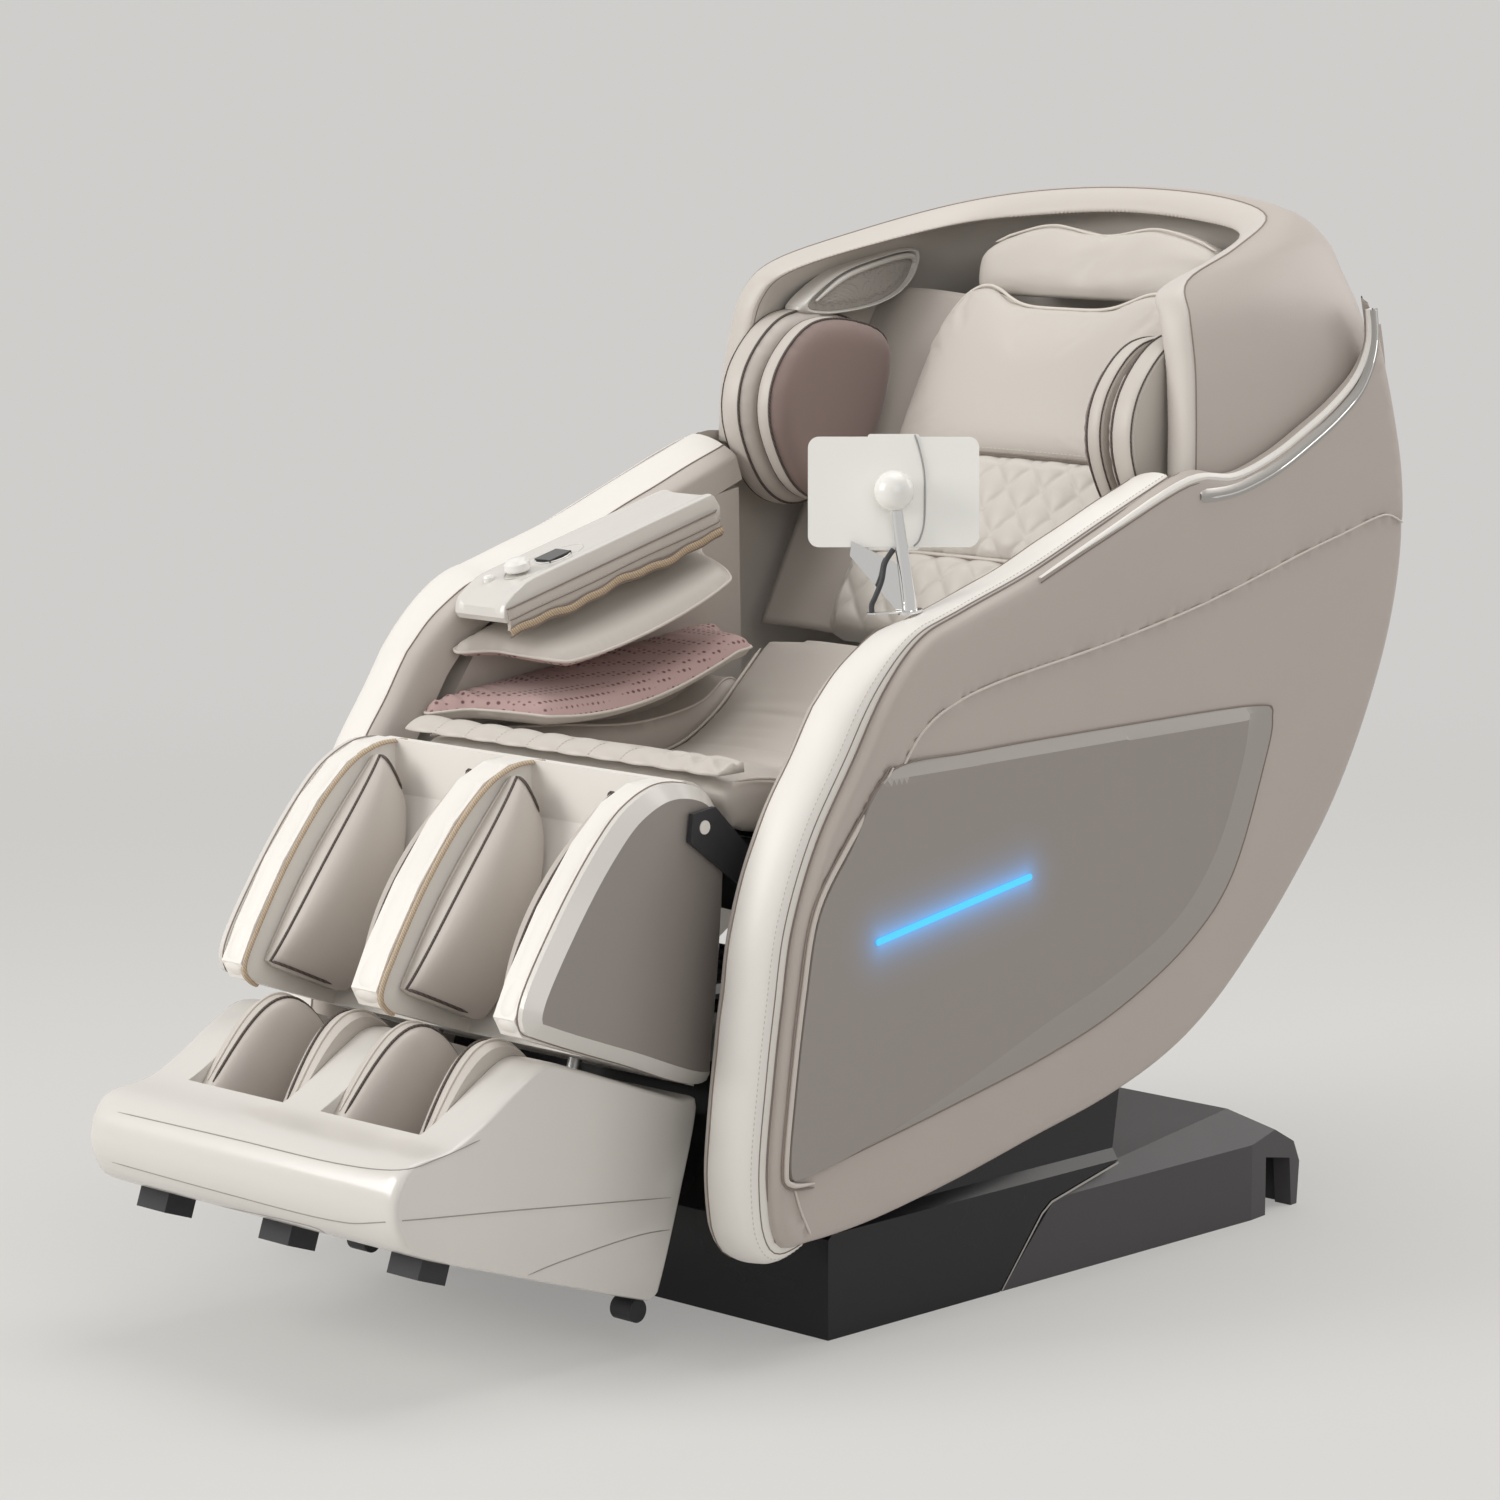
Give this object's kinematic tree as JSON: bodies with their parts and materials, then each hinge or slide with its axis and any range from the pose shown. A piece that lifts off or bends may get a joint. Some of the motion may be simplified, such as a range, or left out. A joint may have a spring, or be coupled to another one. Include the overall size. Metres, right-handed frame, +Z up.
{
  "type": "massage chair",
  "caption": "Reclining full-body massage chair with padded hood, armrests, calf and foot unit, sliding base and a tablet on an armrest stand",
  "frame": {"origin": "middle of the floor under the chair, on its plane of symmetry, halfway between the foremost and rearmost points", "axes": "+Z up, the front faces -Y, the sitter's left is +X"},
  "size_m": [0.809, 1.53, 1.218],
  "materials": {
    "frame_steel": "satin",
    "zinc_steel": "satin",
    "black_gloss": "gloss",
    "dark_housing": "matte",
    "silver_trim": "satin",
    "rubber": "matte",
    "switch_red": "gloss",
    "taupe_leather": "satin",
    "side_leather": "satin",
    "cream_leather": "satin",
    "quilted_leather": "satin",
    "panel_gloss": "semi-gloss",
    "light_blue": "gloss",
    "pink_mesh": "matte",
    "mauve_fabric": "satin",
    "cream_gloss": "gloss",
    "white_gloss": "gloss",
    "display_glass": "gloss",
    "roller_plastic": "matte",
    "chrome": "polished",
    "cable_black": "matte"
  },
  "bodies": {
    "base": {"base_frame": "frame_steel", "front_cover": "black_gloss", "rear_cover": "dark_housing", "slot_trims": "silver_trim", "slide_rails": "zinc_steel", "levelling_feet": "rubber", "control_box": "dark_housing", "air_pump": "dark_housing", "power_inlet": "dark_housing"},
    "wheels": {"transport_wheels": "rubber"},
    "switch": {"power_switch": "switch_red"},
    "carriage": {"slide_carriage": "frame_steel"},
    "seat": {"seat_frame": "frame_steel", "seat_cushion": "taupe_leather", "seat_flap": "cream_leather", "hip_cushions": "taupe_leather", "side_shell_left": "side_leather", "side_shell_right": "side_leather", "side_panel_left": "panel_gloss", "side_panel_right": "panel_gloss", "light_bars": "light_blue", "shell_trims": "silver_trim", "arm_band_left": "cream_leather", "arm_band_right": "cream_leather", "arm_core_left": "cream_leather", "arm_core_right": "cream_leather", "forearm_bags_left": "pink_mesh", "forearm_bags_right": "pink_mesh", "console": "cream_gloss", "console_display": "display_glass"},
    "knob": {"control_knob": "white_gloss"},
    "button": {"control_button": "white_gloss"},
    "back": {"back_frame": "frame_steel", "lower_back_pad": "quilted_leather", "lumbar_pad": "quilted_leather", "back_pad": "taupe_leather", "hood": "taupe_leather", "back_cover": "side_leather", "shoulder_bags_left": "taupe_leather", "shoulder_bags_right": "mauve_fabric", "speaker_left": "cream_gloss", "speaker_right": "cream_gloss"},
    "pillow": {"head_pillow": "taupe_leather"},
    "massage": {"massage_carriage": "dark_housing"},
    "kneader": {"kneading_arms": "roller_plastic"},
    "calf": {"calf_shell": "cream_leather", "calf_cover_left": "taupe_leather", "calf_cover_right": "taupe_leather", "calf_pads_left": "taupe_leather", "calf_pads_right": "taupe_leather"},
    "foot": {"foot_shell": "cream_gloss", "foot_rods": "zinc_steel", "foot_pads_left": "taupe_leather", "foot_pads_right": "taupe_leather", "foot_blocks": "rubber"},
    "foot_roller": {"foot_rollers": "dark_housing"},
    "stand": {"tablet_stand": "chrome", "tablet_cable": "cable_black"},
    "tablet": {"tablet": "white_gloss", "tablet_lead": "cable_black"}
  },
  "joints": [
    {"name": "seat_slide", "type": "slide", "parent": "base", "child": "carriage", "axis": [0, -1, 0], "range_m": [0, 0.1]},
    {"name": "seat_tilt", "type": "hinge", "parent": "carriage", "child": "seat", "pos_m": [0, 0.06, 0.33], "axis": [-1, 0, 0], "range_deg": [-3, 12]},
    {"name": "recline", "type": "hinge", "parent": "seat", "child": "back", "pos_m": [0, 0.17, 0.452], "axis": [-1, 0, 0], "range_deg": [0, 32]},
    {"name": "pillow_flap", "type": "hinge", "parent": "back", "child": "pillow", "pos_m": [0, 0.606, 1.162], "axis": [-1, 0, 0], "range_deg": [0, 50]},
    {"name": "massage_slide", "type": "slide", "parent": "back", "child": "massage", "axis": [0, 0.4742, 0.8804], "range_m": [-0.18, 0.12]},
    {"name": "kneading", "type": "hinge", "parent": "massage", "child": "kneader", "pos_m": [0, 0.4944, 0.7892], "axis": [1, 0, 0], "range_deg": [-6, 6]},
    {"name": "legrest", "type": "hinge", "parent": "seat", "child": "calf", "pos_m": [0, -0.335, 0.57], "axis": [-1, 0, 0], "range_deg": [0, 68]},
    {"name": "foot_slide", "type": "slide", "parent": "calf", "child": "foot", "axis": [0, -0.342, -0.9397], "range_m": [0, 0.12]},
    {"name": "foot_roller_spin", "type": "hinge", "parent": "foot", "child": "foot_roller", "pos_m": [0, -0.56, 0.178], "axis": [1, 0, 0], "continuous": true},
    {"name": "stand_swivel", "type": "hinge", "parent": "seat", "child": "stand", "pos_m": [0.335, -0.082, 0.7834], "axis": [-0.0743, -0.1188, 0.9901], "range_deg": [-25, 40]},
    {"name": "tablet_tilt", "type": "hinge", "parent": "stand", "child": "tablet", "pos_m": [0.325, -0.098, 0.917], "axis": [0.7193, 0.6947, 0], "range_deg": [0, 20]},
    {"name": "knob_turn", "type": "hinge", "parent": "seat", "child": "knob", "pos_m": [-0.262, -0.1053, 0.7837], "axis": [0, -0.2504, 0.9681], "continuous": true},
    {"name": "button_press", "type": "slide", "parent": "seat", "child": "button", "axis": [0, 0.2504, -0.9681], "range_m": [0, 0.0025], "stiffness_N_per_m": 200},
    {"name": "wheels_spin", "type": "hinge", "parent": "base", "child": "wheels", "pos_m": [0, 0.536, 0.033], "axis": [1, 0, 0], "continuous": true},
    {"name": "switch_rock", "type": "hinge", "parent": "base", "child": "switch", "pos_m": [-0.198, 0.615, 0.032], "axis": [1, 0, 0], "range_deg": [-8, 8]}
  ],
  "couplings": [
    {"joint": "foot_slide", "follows": "legrest", "m_per_rad": 0.1}
  ]
}
